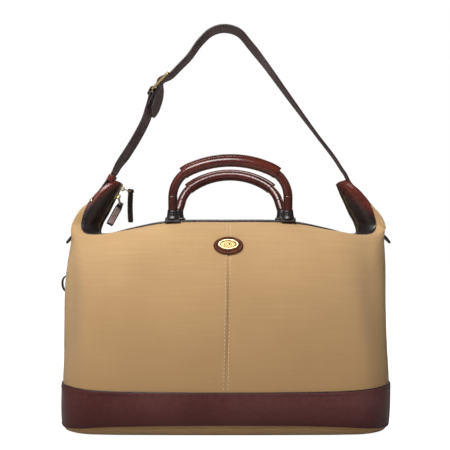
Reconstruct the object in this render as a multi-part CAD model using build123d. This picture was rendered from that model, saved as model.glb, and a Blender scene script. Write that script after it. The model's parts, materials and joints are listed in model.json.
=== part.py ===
"""Canvas and leather holdall with two rolled handles and a buckled shoulder strap.

Millimetres. The origin is on the floor under the middle of the base, +Z is up,
+Y is towards the back, and +X is to the right as the bag is seen from the front.
"""
from functools import cache
from math import ceil, cos, floor, radians, sin, sqrt
from typing import NamedTuple

import os

from build123d import *


class HandleShape(NamedTuple):
    """A handle in its own plane, and how that plane leans."""
    half: float         # half the distance between its feet
    leg: float          # straight part of a leg above the swing axis
    inward: float       # degrees that a leg leans towards the other leg
    shoulder_r: float   # bend between leg and crown
    turn: float         # degrees the outer side has turned where the bend meets the crown
    grip_from: float    # degrees it has turned where the stitched sleeve starts
    forward: float      # degrees that the handle tips forward


# ---- driving dimensions ----
BASE_Z = 4.0             # underside of the base, held off the floor by the feet
RIDGE_Z = 327.0          # zip along the top of the bag
LEAN = 6.0               # how far the soft body leans to +X at the ridge
CANVAS = 1.6             # canvas thickness
LINING = 0.8
BAND = 2.0               # leather of the band round the base
FACING = 1.4             # leather of the top facings
CLEAR = 0.3              # gap between neighbouring soft pieces

ZIP_HALF = 5.0           # from the middle of the zip to the edge of each facing
CHAIN_IN = 0.65          # each chain row's inner and outer distance from the middle
CHAIN_OUT = 2.35

HANDLE_X = 8.5           # middle of the handles
HANDLE_Y = 30.0          # distance of each handle's foot from the zip
HANDLE_Z = 339.5         # height of the axis that a handle swings about
FRONT_HANDLE = HandleShape(half=91.0, leg=24.0, inward=0.0, shoulder_r=48.0, turn=66.0,
                           grip_from=50.0, forward=8.0)
BACK_HANDLE = HandleShape(half=86.0, leg=24.0, inward=14.0, shoulder_r=50.0, turn=52.0,
                          grip_from=44.0, forward=-28.0)
ROLL_R = 7.2             # rolled leather of a handle
CORE_R = 4.4             # rope inside it
GRIP_R = 8.5             # stitched sleeve round the crown
FIN = 3.0                # height and thickness of the sleeve's closed seam
FIN_TURN = 22.0          # degrees that the seam spans to each side of the crown
WRAP = 14.0              # length of the wrap round each handle foot
WRAP_UP = 10.0           # middle of the wrap above the swing axis

STRAP_WIDTH = 27.0
STRAP = 2.8              # shoulder strap thickness
STRAP_PIVOT_Z = 411.0    # where the strap bends above the ears of the bag
BUCKLE_AT = Vector(-103.4, 0, 550.8)
BUCKLE_ANGLE = 46.3      # degrees that the buckle frame rises towards +X
BUCKLE_LONG = 40.0
BUCKLE_WIDE = 38.0
BUCKLE_BAR = 3.8
HEEL = 18.1              # from the middle of the buckle to the middle of its end bars

BAIL_UP = 4.9            # from the zip line to the bail on top of a slider
RING_LONG = 14.0         # pull ring, between the middles of its bars
RING_WIDE = 15.0
RING_WIRE = 0.9          # radius of the ring's wire
TAB_WIDE = 11.0          # leather pull tab
TAB_THICK = 3.2

FOOT_X = 210.0
FOOT_Y = 75.0
FOOT_R = 8.0

# ---- guide points of the soft body ----
# Each station is a line up the wall, from the edge of the base to the rim where the
# leather facing starts. They run from the middle of the front (x = 0) round the left
# front corner to the middle of the left gusset (y = 0); the rest is mirrored.
# Points: base edge, base turn, band bottom, band top, lower wall, upper wall,
# shoulder, crest, rim.
WALL = [
    [(0, -96, 4), (0, -109, 10), (0, -114, 21), (0, -116, 69), (0, -108, 150),
     (0, -90, 235), (0, -70, 287), (0, -50, 316), (0, -36, 325)],
    [(-110, -95, 4), (-110, -108, 10), (-110, -113, 20), (-110, -115, 69), (-109, -107, 150),
     (-107, -89, 235), (-105, -69, 287), (-103, -49, 314), (-100, -35, 323)],
    [(-178, -93, 4), (-179, -106, 9), (-180, -112, 18), (-180, -114, 69), (-178, -104, 150),
     (-175, -86, 233), (-170, -66, 284), (-162, -47, 309), (-152, -31, 316)],
    [(-212, -88, 4), (-214, -99, 8), (-216, -105, 14), (-217, -107, 69), (-214, -95, 150),
     (-212, -77, 232), (-211, -58, 281), (-207, -42, 303), (-192, -26, 305)],
    [(-235, -72, 4), (-239, -81, 7), (-240, -86, 11), (-241, -87, 70), (-238, -75, 150),
     (-236, -58, 235), (-233, -44, 285), (-234, -33, 307), (-222, -30, 308)],
    [(-245, -50, 4), (-249, -55, 6), (-251, -58, 9), (-252, -59, 70), (-249, -51, 150),
     (-248, -40, 240), (-243, -29, 292), (-242, -21, 318), (-232, -20, 324)],
    [(-246, -25, 4), (-250, -27, 6), (-252, -28, 9), (-253, -29, 70), (-250, -25, 150),
     (-248, -19, 243), (-243, -14, 296), (-242, -11, 322), (-232, -11, 340)],
    [(-246, 0, 4), (-250, 0, 6), (-252, 0, 9), (-253, 0, 70), (-249, 0, 150),
     (-246, 0, 245), (-242, 0, 300), (-238, 0, 333), (-224, 0, 356)],
]
BASE_EDGE, BAND_LOW, BAND_HIGH, RIM = 0, 2, 3, 8      # rows of the table
CORNER = 5                                           # station of the table

# The leather facings start at the rim and end at the zip. Past the gusset they rise
# as two leaves that meet in an ear at each end of the bag.
EAR_SEAM = [(-206, 0, 373), (-183, 0, 391)]
FACING_MIDDLE = [(0, -21, 326.5), (-100, -20, 324.5), (-150, -18, 316.5), (-190, -16, 305),
                 (-217, -20, 306), (-222, -19, 322), (-218, -17, 342), (-207, -15, 361),
                 (-194, -11, 377), (-179, -4, 389)]
ZIP_LINE = [(0, 0, 327), (-100, 0, 325), (-148, 0, 316), (-188, 0, 305), (-208, 0, 307),
            (-208, 0, 322), (-199, 0, 339), (-190, 0, 356), (-181, 0, 373), (-174, 0, 386.5)]
EAR_TIP = len(ZIP_LINE) - 1

# The shoulder strap in the XZ plane, from its free end beside the buckle over the top
# to the right ear, and the short strap from the left ear to the buckle's heel.
LONG_STRAP = [(-108, 509), (-105.5, 522), (-106, 536), (-104, 552.5), (-87.9, 560.9),
              (-74, 574.5), (-58, 591), (-40, 615.5), (-21, 632.5), (0, 637.5), (22, 631),
              (40, 611), (63, 582), (105, 524), (147, 467), (176, 429), (187, 413)]
SHORT_STRAP = [(-178, 413), (-152, 457), (-133, 492), (-122.1, 525.3)]
# The fixed strap end on the left gusset and ear; the right one is mirrored.
ANCHOR = [(-246.4, 292), (-244.8, 308), (-242, 334), (-227, 360), (-211, 378),
          (-198, 390), (-189.5, 401), (-185, 409)]

os.makedirs("parts", exist_ok=True)


def save(node, *solids):
    """Write one node from one or more solids."""
    export_step(Compound(children=[s for shape in solids for s in shape.solids()]),
                f"parts/{node}.step")


def lean(point):
    """Move a point of the soft body sideways by the lean at its height."""
    return Vector(point.X + LEAN * point.Z / RIDGE_Z, point.Y, point.Z)


def bend(before, start, end, after, t):
    """Point at t from 0 to 1 on the smooth curve between start and end."""
    k1 = sqrt((start - before).length)
    k2 = k1 + sqrt((end - start).length)
    k3 = k2 + sqrt((after - end).length)
    at = k1 + (k2 - k1) * t
    a = before * ((k1 - at) / k1) + start * (at / k1)
    b = start * ((k2 - at) / (k2 - k1)) + end * ((at - k1) / (k2 - k1))
    c = end * ((k3 - at) / (k3 - k2)) + after * ((at - k2) / (k3 - k2))
    ab = a * ((k2 - at) / k2) + b * (at / k2)
    bc = b * ((k3 - at) / (k3 - k1)) + c * ((at - k1) / (k3 - k1))
    return ab * ((k2 - at) / (k2 - k1)) + bc * ((at - k1) / (k2 - k1))


def curve_at(points, t):
    """Point at t, counted in points, on an open smooth curve through them."""
    i = max(0, min(floor(t), len(points) - 2))
    before = points[i - 1] if i else points[0] * 2 - points[1]
    after = points[i + 2] if i + 2 < len(points) else points[-1] * 2 - points[-2]
    return bend(before, points[i], points[i + 1], after, t - i)


def mirrored(points, sx, sy):
    return [Vector(x * sx, y * sy, z) for x, y, z in points]


# The stations of the whole wall, once round, clockwise as seen from above.
RING = [mirrored(s, 1, 1) for s in WALL]
RING += [mirrored(s, 1, -1) for s in WALL[-2::-1]]
RING += [mirrored(s, -1, -1) for s in WALL[1:]]
RING += [mirrored(s, -1, 1) for s in WALL[-2:0:-1]]


@cache
def wall_column(u):
    """Line up the wall at u, counted in stations."""
    i = floor(u)
    four = [RING[(i + k) % len(RING)] for k in (-1, 0, 1, 2)]
    return [bend(*points, u - i) for points in zip(*four)]


def wall_at(u, v):
    """Point of the wall: u is counted in stations, v in rows up a station."""
    return lean(curve_at(wall_column(u), v))


def facing_at(u, v):
    """Point of the front facing: u from the right ear (-9) to the left (9), v from rim to zip."""
    outer = mirrored([s[RIM] for s in WALL] + EAR_SEAM, 1, 1)
    middle = mirrored(FACING_MIDDLE, 1, 1)
    inner = [p + Vector(0, -ZIP_HALF, 0) for p in mirrored(ZIP_LINE, 1, 1)]
    across = []
    for line in (outer, middle, inner):
        whole = [Vector(-p.X, p.Y, p.Z) for p in line[:0:-1]] + line
        across.append(curve_at(whole, u + EAR_TIP))
    point = lean(curve_at(across, v))
    return Vector(point.X, min(point.Y, -CLEAR), point.Z)


def back_facing_at(u, v):
    point = facing_at(-u, v)
    return Vector(point.X, -point.Y, point.Z)


def lifted(surface, u, v, lift):
    """Point at a distance outside a surface."""
    step = 0.02
    du = surface(u + step, v) - surface(u - step, v)
    dv = surface(u, v + step) - surface(u, v - step)
    return surface(u, v) + dv.cross(du).normalized() * lift


def stops(low, high):
    """The whole numbers between low and high, with low and high at the ends."""
    return [low] + list(range(floor(low) + 1, ceil(high))) + [high]


def sheet(surface, u_range, v_range, lift, thickness):
    """Solid sheet of flat facets that follows a surface, between two distances outside it."""
    grid_u, grid_v = stops(*u_range), stops(*v_range)
    inner, outer = ([[lifted(surface, u, v, h) for v in grid_v] for u in grid_u]
                    for h in (lift, lift + thickness))
    faces = []

    def facet(a, b, c, d):
        for corners in ((a, b, c), (a, c, d)):
            faces.append(Face(Wire.make_polygon(corners)))

    last_u, last_v = len(grid_u) - 1, len(grid_v) - 1
    for side in (inner, outer):
        for i in range(last_u):
            for j in range(last_v):
                facet(side[i][j], side[i + 1][j], side[i + 1][j + 1], side[i][j + 1])
    for i in range(last_u):
        for j in (0, last_v):
            facet(inner[i][j], inner[i + 1][j], outer[i + 1][j], outer[i][j])
    for j in range(last_v):
        for i in (0, last_u):
            facet(inner[i][j], inner[i][j + 1], outer[i][j + 1], outer[i][j])
    return Solid(Shell(faces))


def ribbon(points, low, high, y0, y1):
    """Strip along a line of (x, z) points, between two offsets to the line's left."""
    line = [Vector(x, 0, z) for x, z in points]
    fine = [curve_at(line, i / 3) for i in range(3 * len(line) - 2)]
    sides = []
    for offset in (low, high):
        side = []
        for i, point in enumerate(fine):
            along = (fine[min(i + 1, len(fine) - 1)] - fine[max(i - 1, 0)]).normalized()
            side.append(point + Vector(-along.Z, 0, along.X) * offset)
        sides.append(side)
    lower, upper = sides
    outline = [Edge.make_spline(lower), Edge.make_line(lower[-1], upper[-1]),
               Edge.make_spline(upper[::-1]), Edge.make_line(upper[0], lower[0])]
    face = Face(Wire(outline))
    return extrude(face.moved(Location((0, y0, 0))), amount=y1 - y0, dir=(0, 1, 0))


def wedge_cut(z_tip, up, spread=0.4, tall=60):
    """Two blocks that narrow a strap towards the axis it bends about."""
    reach = 40
    blocks = []
    for side in (-1, 1):
        points = [(side, z_tip), (side * reach, z_tip), (side * reach, z_tip + up * tall),
                  (side * (1 + spread * tall), z_tip + up * tall)]
        profile = Face(Wire.make_polygon([Vector(0, y, z) for y, z in points]))
        blocks.append(extrude(profile.moved(Location((-300, 0, 0))), amount=600, dir=(1, 0, 0)))
    return blocks


# ---- body of the bag ----
def canvas_panels():
    """Front and back are each two halves with a seam in the middle."""
    rows = (BASE_EDGE, RIM - 0.015)
    half, end = 0.002, 0.012
    quarter = len(RING) // 4
    spans = {
        "canvas_front_left": (half, CORNER - end),
        "gusset_left": (CORNER + end, 2 * quarter - CORNER - end),
        "canvas_back_left": (2 * quarter - CORNER + end, 2 * quarter - half),
        "canvas_back_right": (2 * quarter + half, 2 * quarter + CORNER - end),
        "gusset_right": (2 * quarter + CORNER + end, 4 * quarter - CORNER - end),
        "canvas_front_right": (4 * quarter - CORNER + end, 4 * quarter - half),
    }
    for node, span in spans.items():
        save(node, sheet(wall_at, span, rows, -CANVAS, CANVAS))


def base_outline(inset):
    """Flat face inside the base edge of the wall."""
    edge = [wall_at(u, BASE_EDGE) for u in range(len(RING))]
    half_x = max(p.X for p in edge)
    half_y = max(p.Y for p in edge)
    shrunk = [Vector(p.X * (1 - inset / half_x), p.Y * (1 - inset / half_y), 0) for p in edge]
    return Face(Wire.make_polygon(shrunk))


def base():
    lining_z = BASE_Z + CANVAS + 4 * CLEAR
    board_z = lining_z + LINING + CLEAR
    panel = extrude(base_outline(3), amount=CANVAS, dir=(0, 0, 1))
    save("bottom_panel", panel.moved(Location((0, 0, BASE_Z))))
    board = extrude(base_outline(12), amount=2.5, dir=(0, 0, 1))
    save("base_board", board.moved(Location((0, 0, board_z))))
    quarter = len(RING) // 4
    lift = -CANVAS - 4 * CLEAR - LINING
    gap = 0.01
    rows = (BASE_EDGE, RIM - 0.1)
    front = sheet(wall_at, (gap - quarter, quarter - gap), rows, lift, LINING)
    back = sheet(wall_at, (gap + quarter, 3 * quarter - gap), rows, lift, LINING)
    floor_sheet = extrude(base_outline(7), amount=LINING, dir=(0, 0, 1))
    save("lining", front, back, floor_sheet.moved(Location((0, 0, lining_z))))


def leather_band():
    quarter = len(RING) // 4
    corner = 4.5
    gap = 0.008
    spans = {
        "band_front": (-corner + gap, corner - gap),
        "band_left": (corner + gap, 2 * quarter - corner - gap),
        "band_back": (2 * quarter - corner + gap, 2 * quarter + corner - gap),
        "band_right": (2 * quarter + corner + gap, 4 * quarter - corner - gap),
    }
    for node, span in spans.items():
        save(node, sheet(wall_at, span, (BAND_LOW, BAND_HIGH), CLEAR, BAND))


def facings():
    rows = (0.08, 2)
    ends = (-EAR_TIP, EAR_TIP)
    save("top_facing_front", sheet(facing_at, ends, rows, 0, FACING))
    save("top_facing_back", sheet(back_facing_at, ends, rows, 0, FACING))


def zip_path():
    """The zip from the left ear tip to the right one, as (x, z) points."""
    left = [lean(p) for p in mirrored(ZIP_LINE, 1, 1)]
    right = [lean(p) for p in mirrored(ZIP_LINE, -1, 1)]
    return [(p.X, p.Z) for p in left[::-1] + right[1:]]


def zip_fastener():
    path = zip_path()
    for side, node in ((-1, "front"), (1, "back")):
        chain = sorted((side * CHAIN_IN, side * CHAIN_OUT))
        tape = sorted((side * (CHAIN_OUT + 0.1), side * (ZIP_HALF - CLEAR)))
        save(f"zip_chain_{node}", ribbon(path, -2.4, 0.2, *chain))
        save(f"zip_tape_{node}", ribbon(path, -1.6, -0.8, *tape))


def handle_patches():
    """Leather patches under the handle feet, each with two rivets."""
    patches, rivets = [], []
    patch_z = RIDGE_Z + FACING + CLEAR
    thick = 1.5
    for side, shape in ((-1, FRONT_HANDLE), (1, BACK_HANDLE)):
        for x in (HANDLE_X - shape.half, HANDLE_X + shape.half):
            patches.append(Pos(x, side * 22, patch_z + thick / 2) * Box(20, 22, thick))
            for dx in (-6, 6):
                head = Cylinder(2.4, 1.1, align=(Align.CENTER, Align.CENTER, Align.MIN))
                rivets.append(Pos(x + dx, side * 15, patch_z + thick + 0.1) * head)
    save("handle_patches", *patches)
    save("handle_rivets", *rivets)


def badge():
    """Oval leather badge on the front seam, with an oval metal plate on it."""
    seat = wall_at(0, 6)
    normal = lifted(wall_at, 0, 6, 1) - seat
    plane = Plane(origin=seat, x_dir=(1, 0, 0), z_dir=normal)
    leather = extrude(Pos(0, 1) * Ellipse(23, 15), amount=1.5)
    metal = extrude(Pos(0, 4) * Ellipse(15.5, 8.1), amount=1.4)
    save("badge_leather", plane * Pos(0, 0, 0.8) * leather)
    save("badge_medallion", plane * Pos(0, 0, 2.4) * metal)


def feet():
    height = BASE_Z - 0.2
    made = []
    for x in (-FOOT_X, FOOT_X):
        for y in (-FOOT_Y, FOOT_Y):
            foot = Cone(FOOT_R - 3, FOOT_R, height, align=(Align.CENTER, Align.CENTER, Align.MIN))
            made.append(foot.moved(Location((x, y, 0))))
    save("feet", *made)


def strap_anchors():
    """Fixed strap ends: pointed on the gusset, up over the ear, narrowed at the bend."""
    half = STRAP_WIDTH / 2
    for side, node in ((1, "left"), (-1, "right")):
        path = []
        for x, z in ANCHOR:
            point = lean(Vector(x * side, 0, z))
            path.append((point.X, point.Z))
        strip = ribbon(path, -STRAP / 2, STRAP / 2, -half, half)
        for block in wedge_cut(STRAP_PIVOT_Z, -1) + wedge_cut(ANCHOR[0][1], 1, spread=1, tall=13):
            strip = strip - block
        save(f"strap_anchor_{node}", strip)


def strap_keeper():
    """Leather loop that holds the strap to the left ear's tip."""
    low, high = (lean(Vector(x, 0, z)) for x, z in ANCHOR[-3:-1])
    along = (high - low).normalized()
    loop = Box(STRAP + 8, STRAP_WIDTH + 6, 9) - Box(STRAP + 3, STRAP_WIDTH + 1.4, 20)
    save("strap_keeper", Plane(origin=(low + high) / 2, x_dir=(along.Z, 0, -along.X), z_dir=along) * loop)


def side_loop():
    """Small folded leather loop on the left gusset."""
    path = [(-244.5, 238), (-252, 236), (-256, 230), (-256, 220), (-252, 214), (-244.5, 212)]
    save("side_loop", ribbon(path, -0.9, 0.9, -6, 6))


def ear_rivets():
    made = []
    for surface in (facing_at, back_facing_at):
        for side in (-1, 1):
            seat = lifted(surface, side * 6.75, 0.35, FACING + 0.1)
            normal = lifted(surface, side * 6.75, 0.35, 1) - lifted(surface, side * 6.75, 0.35, 0)
            head = Cylinder(3, 1.2, align=(Align.CENTER, Align.CENTER, Align.MIN))
            made.append(Plane(origin=seat, z_dir=normal) * head)
    save("ear_rivets", *made)


# ---- handles ----
def bend_centre(shape):
    """Centre of the bend between the right leg and the crown."""
    inward = radians(shape.inward)
    x = shape.half - shape.leg * sin(inward) - shape.shoulder_r * cos(inward)
    return Vector(x, shape.leg * cos(inward) - shape.shoulder_r * sin(inward))


def crown(shape):
    """Radius of the crown's arc and the height of its centre."""
    turn = radians(shape.turn)
    end = bend_centre(shape) + Vector(cos(turn), sin(turn)) * shape.shoulder_r
    radius = end.X / cos(turn)
    return radius, end.Y - radius * sin(turn)


def handle_path(shape, turned, with_legs):
    """Line of a handle from where its bends have turned so far: x across, y up."""
    radius, height = crown(shape)
    bend_at = bend_centre(shape)
    right = Edge.make_circle(shape.shoulder_r, Plane(bend_at), turned, shape.turn)
    left = Edge.make_circle(shape.shoulder_r, Plane((-bend_at.X, bend_at.Y)), 180 - shape.turn,
                            180 - turned, AngularDirection.COUNTER_CLOCKWISE)
    top = Edge.make_circle(radius, Plane((0, height)), shape.turn, 180 - shape.turn)
    edges = [left, top, right]
    if with_legs:
        inward = radians(shape.inward)
        for side in (-1, 1):
            foot = Vector(side * shape.half, 0)
            edges.append(Edge.make_line(foot, foot + Vector(-side * sin(inward), cos(inward)) * shape.leg))
    return Wire(edges)


def tube(path, outer, inner=0.0):
    start = Plane(origin=path @ 0, z_dir=path % 0)
    body = sweep(start * Circle(outer), path=path)
    if inner:
        body = body - sweep(start * Circle(inner), path=path)
    return body


def grip_fin(shape):
    """Closed seam that stands on top of the sleeve along the crown."""
    radius, height = crown(shape)
    ring = Cylinder(radius + GRIP_R + FIN, FIN) - Cylinder(radius + GRIP_R - 0.4, FIN)
    reach = 2 * (radius + GRIP_R + FIN)
    corner = Vector(reach * sin(radians(FIN_TURN)), reach * cos(radians(FIN_TURN)))
    sector = make_face(Polyline((0, 0), (-corner.X, corner.Y), corner, (0, 0)).edges())
    return Pos(0, height, 0) * (ring & extrude(sector, amount=FIN, both=True))


def handle(name, y, shape):
    """Rope core, rolled leather cover, stitched sleeve and the two wrapped ends."""
    tilt = radians(shape.forward)
    plane = Plane(origin=(HANDLE_X, y, HANDLE_Z), x_dir=(1, 0, 0),
                  z_dir=(0, -cos(tilt), -sin(tilt)))
    whole = handle_path(shape, shape.inward, True)
    grip_line = handle_path(shape, shape.grip_from, False)
    grip = tube(grip_line, GRIP_R, ROLL_R + 0.1) + grip_fin(shape)
    wraps = []
    for side in (-1, 1):
        wrap = Cylinder(GRIP_R, WRAP) - Cylinder(ROLL_R + 0.1, WRAP)
        leg = Pos(side * shape.half, 0) * Rot(0, 0, side * shape.inward)
        wraps.append(leg * Pos(0, WRAP_UP) * Rot(90, 0, 0) * wrap)
    parts = {"core": [tube(whole, CORE_R)], "roll": [tube(whole, ROLL_R, CORE_R + 0.1)],
             "grip": [grip], "wraps": wraps}
    for node, shapes in parts.items():
        save(f"{name}_{node}", *[plane * solid for solid in shapes])


# ---- shoulder strap and buckle ----
def buckle_plane():
    turn = radians(BUCKLE_ANGLE)
    return Plane(origin=BUCKLE_AT, x_dir=(cos(turn), 0, sin(turn)), z_dir=(-sin(turn), 0, cos(turn)))


def heel_axis():
    return buckle_plane().from_local_coords(Vector(-HEEL, 0, 0))


def shoulder_strap():
    half = STRAP_WIDTH / 2
    long_strap = ribbon(LONG_STRAP, -STRAP / 2, STRAP / 2, -half, half)
    plane = buckle_plane()
    tongue_slot = plane * Box(20, 4.6, 30)
    long_strap = long_strap - tongue_slot
    short_strap = ribbon(SHORT_STRAP, -STRAP / 2, STRAP / 2, -half, half)
    heel = heel_axis()
    start = Vector(SHORT_STRAP[-1][0], 0, SHORT_STRAP[-1][1])
    along = (heel - start).normalized()
    fold_plane = Plane(origin=heel, x_dir=along, z_dir=Vector(-along.Z, 0, along.X))
    fold_r = 5.2
    hole_r = 2.95
    reach = (heel - start).length + 1
    fold = Pos(-reach / 2, 0, 0) * Box(reach, STRAP_WIDTH, 2 * fold_r)
    fold = fold + Rot(90, 0, 0) * Cylinder(fold_r, STRAP_WIDTH)
    fold = fold - Rot(90, 0, 0) * Cylinder(hole_r, STRAP_WIDTH + 2)
    fold = fold - Pos(-3.5, 0, 0) * Box(7, STRAP_WIDTH + 2, 2 * hole_r - 1)
    fold = fold - Pos(0, 0, 0) * Box(14, 5.4, 14)
    short_strap = short_strap + fold_plane * fold
    for block in wedge_cut(STRAP_PIVOT_Z, 1):
        long_strap = long_strap - block
        short_strap = short_strap - block
    save("strap_long", long_strap)
    save("strap_short", short_strap)


def buckle():
    plane = buckle_plane()
    outer = RectangleRounded(BUCKLE_LONG, BUCKLE_WIDE, 5)
    inner = RectangleRounded(BUCKLE_LONG - 2 * BUCKLE_BAR, BUCKLE_WIDE - 2 * BUCKLE_BAR, 2)
    frame = extrude(outer - inner, amount=BUCKLE_BAR / 2, both=True)
    save("buckle_frame", plane * chamfer(frame.edges(), 0.7))
    ring = Rot(90, 0, 0) * (Cylinder(4.5, 4.2) - Cylinder(2.95, 5))
    prong = Pos(HEEL + 0.6, 0, 3.6) * Rot(0, 90, 0) * Cylinder(1.3, 2 * HEEL + 1)
    save("buckle_tongue", plane * Pos(-HEEL, 0, 0) * (ring + prong))


# ---- zip sliders and pulls, on the left ear ----
def ear_frame(distance):
    """Plane on the left ear's zip, so far below its top: x up the zip, z out of it."""
    low = lean(Vector(*ZIP_LINE[5]))
    high = lean(Vector(*ZIP_LINE[9]))
    up = (high - low).normalized()
    return Plane(origin=high - up * distance, x_dir=up, z_dir=Vector(up.Z, 0, -up.X))


def zip_pull(name, distance, ring_dir, tab_dir, twist, length):
    """A slider with its bail, the ring hung in the bail, and the leather tab on the ring."""
    plane = ear_frame(distance)
    across = Vector(0, 1, 0)
    top = Pos(0, 0, 1.5) * Box(12, 9, 1.7)
    bottom = Pos(0, 0, -3.6) * Box(11, 6.4, 1.3)
    post = Pos(0, 0, -1) * Box(4, 0.8, 5)
    bail_at = plane.from_local_coords(Vector(0, 0, BAIL_UP))
    bail = Plane(origin=bail_at, z_dir=across) * Torus(3.1, RING_WIRE)
    save(f"zip_slider_{name}", plane * (top + bottom + post) + bail)

    ring_plane = Plane(origin=bail_at + ring_dir * (RING_LONG / 2), x_dir=ring_dir,
                       z_dir=ring_dir.cross(across))
    outer = RectangleRounded(RING_LONG + 2 * RING_WIRE, RING_WIDE + 2 * RING_WIRE, 3.5)
    inner = RectangleRounded(RING_LONG - 2 * RING_WIRE, RING_WIDE - 2 * RING_WIRE, 2)
    ring = extrude(outer - inner, amount=RING_WIRE, both=True)
    save(f"pull_ring_{name}", ring_plane * chamfer(ring.edges(), RING_WIRE / 3))

    tab_plane = Plane(origin=bail_at + ring_dir * RING_LONG, x_dir=tab_dir, z_dir=tab_dir.cross(across))
    eye = Rot(90, 0, 0) * (Cylinder(3.4, 8.4) - Cylinder(1.7, 9))
    neck = Pos(4.5, 0, 0) * Box(4, TAB_THICK, TAB_THICK)
    leaf = Pos(5 + length / 2, 0, 0) * Rot(twist, 0, 0) * Box(length, TAB_WIDE, TAB_THICK)
    save(f"pull_tab_{name}", tab_plane * (eye + neck + leaf))


def main():
    canvas_panels()
    base()
    leather_band()
    facings()
    zip_fastener()
    handle_patches()
    badge()
    feet()
    strap_anchors()
    strap_keeper()
    side_loop()
    ear_rivets()
    handle("front_handle", -HANDLE_Y, FRONT_HANDLE)
    handle("back_handle", HANDLE_Y, BACK_HANDLE)
    shoulder_strap()
    buckle()
    plane = ear_frame(0)
    down, out = -plane.x_dir, plane.z_dir
    zip_pull("upper", 6.5, Vector(0.95, 0, -0.31).normalized(), Vector(0, 0, -1), 35, 46)
    zip_pull("lower", 20.5, (down * 0.75 + out * 0.66).normalized(), down, 80, 29)


main()
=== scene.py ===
"""Looks of the canvas and leather holdall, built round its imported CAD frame. Metres."""
import json
import math

import bpy
import numpy as np
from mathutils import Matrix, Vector


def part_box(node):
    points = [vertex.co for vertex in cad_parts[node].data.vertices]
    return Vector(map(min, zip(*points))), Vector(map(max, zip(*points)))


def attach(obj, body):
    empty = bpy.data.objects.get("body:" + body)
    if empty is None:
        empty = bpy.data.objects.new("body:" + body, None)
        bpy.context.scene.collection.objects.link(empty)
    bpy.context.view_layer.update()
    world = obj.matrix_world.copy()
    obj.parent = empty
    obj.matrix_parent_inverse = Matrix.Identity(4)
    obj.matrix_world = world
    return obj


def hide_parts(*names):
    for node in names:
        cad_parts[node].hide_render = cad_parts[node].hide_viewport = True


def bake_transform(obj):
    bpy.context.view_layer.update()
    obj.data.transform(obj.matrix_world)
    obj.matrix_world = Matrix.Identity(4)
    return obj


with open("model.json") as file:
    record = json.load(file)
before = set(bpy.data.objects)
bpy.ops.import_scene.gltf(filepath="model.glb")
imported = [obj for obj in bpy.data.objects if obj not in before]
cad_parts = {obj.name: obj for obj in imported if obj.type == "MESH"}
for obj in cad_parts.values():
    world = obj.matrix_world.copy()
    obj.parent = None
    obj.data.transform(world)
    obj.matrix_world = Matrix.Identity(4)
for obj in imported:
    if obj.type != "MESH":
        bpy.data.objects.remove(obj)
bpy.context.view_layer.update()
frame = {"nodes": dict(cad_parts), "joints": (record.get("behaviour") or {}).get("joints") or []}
MM = 0.001

# ---- guide shape of the soft body, as in the CAD model (millimetres, left front quarter) ----
WALL = [
    [(0, -96, 2), (0, -109, 8), (0, -114, 21), (0, -116, 69), (0, -108, 150),
     (0, -90, 235), (0, -70, 287), (0, -50, 316), (0, -36, 325)],
    [(-110, -95, 2), (-110, -108, 8), (-110, -113, 20), (-110, -115, 69.5), (-109, -107, 150),
     (-107, -89, 235), (-105, -69, 287), (-103, -49, 314), (-100, -35, 323)],
    [(-178, -93, 2), (-179, -106, 7), (-180, -112, 18), (-180, -114, 71), (-178, -104, 150),
     (-175, -86, 233), (-170, -66, 284), (-162, -47, 310), (-152, -32, 314)],
    [(-212, -88, 2), (-214, -99, 6), (-216, -105, 15), (-217, -107, 73), (-214, -95, 150),
     (-212, -77, 232), (-211, -59, 281), (-208, -44, 305), (-197, -29, 304)],
    [(-235, -72, 2), (-239, -81, 6), (-240, -86, 12), (-242, -87, 75), (-238, -75, 150),
     (-236, -59, 235), (-236, -46, 285), (-238, -36, 308), (-229, -29, 308)],
    [(-245, -50, 2.5), (-249, -55, 5.5), (-251, -58, 10), (-253, -59, 75), (-249, -51, 150),
     (-248, -40, 240), (-247, -31, 292), (-248, -27, 318), (-235, -22, 320)],
    [(-246, -25, 3), (-250, -27, 6), (-252, -28, 9), (-254, -29, 75), (-250, -25, 150),
     (-248, -20, 243), (-246, -19, 296), (-240, -19, 341), (-224.5, -16, 356)],
    [(-246, 0, 3), (-250, 0, 6), (-252, 0, 9), (-254, 0, 75), (-249, 0, 150),
     (-245, 0, 245), (-236, 0, 300), (-229, 0, 345), (-217, 0, 360)],
]
EAR_EDGE = [(-222.5, -14.8, 359), (-208, -14.8, 376), (-187, -12, 393)]
FACING_MIDDLE = [(0, -21, 326.5), (-100, -20, 324.5), (-150, -18, 315.5), (-190, -17, 303),
                 (-219, -20, 304), (-226, -20, 320), (-219, -19, 341), (-207, -18, 361),
                 (-194, -15.5, 377), (-179, -9, 390)]
ZIP_LINE = [(0, 0, 327), (-100, 0, 325), (-148, 0, 316), (-188, 0, 305), (-208, 0, 307),
            (-208, 0, 322), (-199, 0, 339), (-190, 0, 356), (-181, 0, 373), (-174, 0, 386.5)]
ZIP_HALF = 5.0           # from the middle of the zip to the edge of each facing
ZIP_TURN = 2.6           # how far an ear's leaves turn apart in X
SWELL = 5.0              # how far the back facing bellies inwards at the foot of an ear
RIDGE_Z = 327.0
LEAN = 6.0               # how far the soft body leans to +X at the ridge
BAND_LOW, BAND_HIGH, RIM = 2, 3, 8      # rows of the table
EAR_TIP = 9                             # last point of the zip's guide line
FRONT_SEAM, BACK_SEAM = 0, 14           # stations of the ring
CORNER_SEAMS = (5, 9, 19, 23)
CANVAS, FACING, BAND, STRAP = 1.6, 1.4, 2.3, 2.8        # thicknesses
SEAM_GAP = 3.3           # from a seam to each of its stitch rows
SEAM_STEP = 110.0        # millimetres of canvas per station beside the seams
EDGE_ANGLE = 38          # sharper edges than this are rounded
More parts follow.
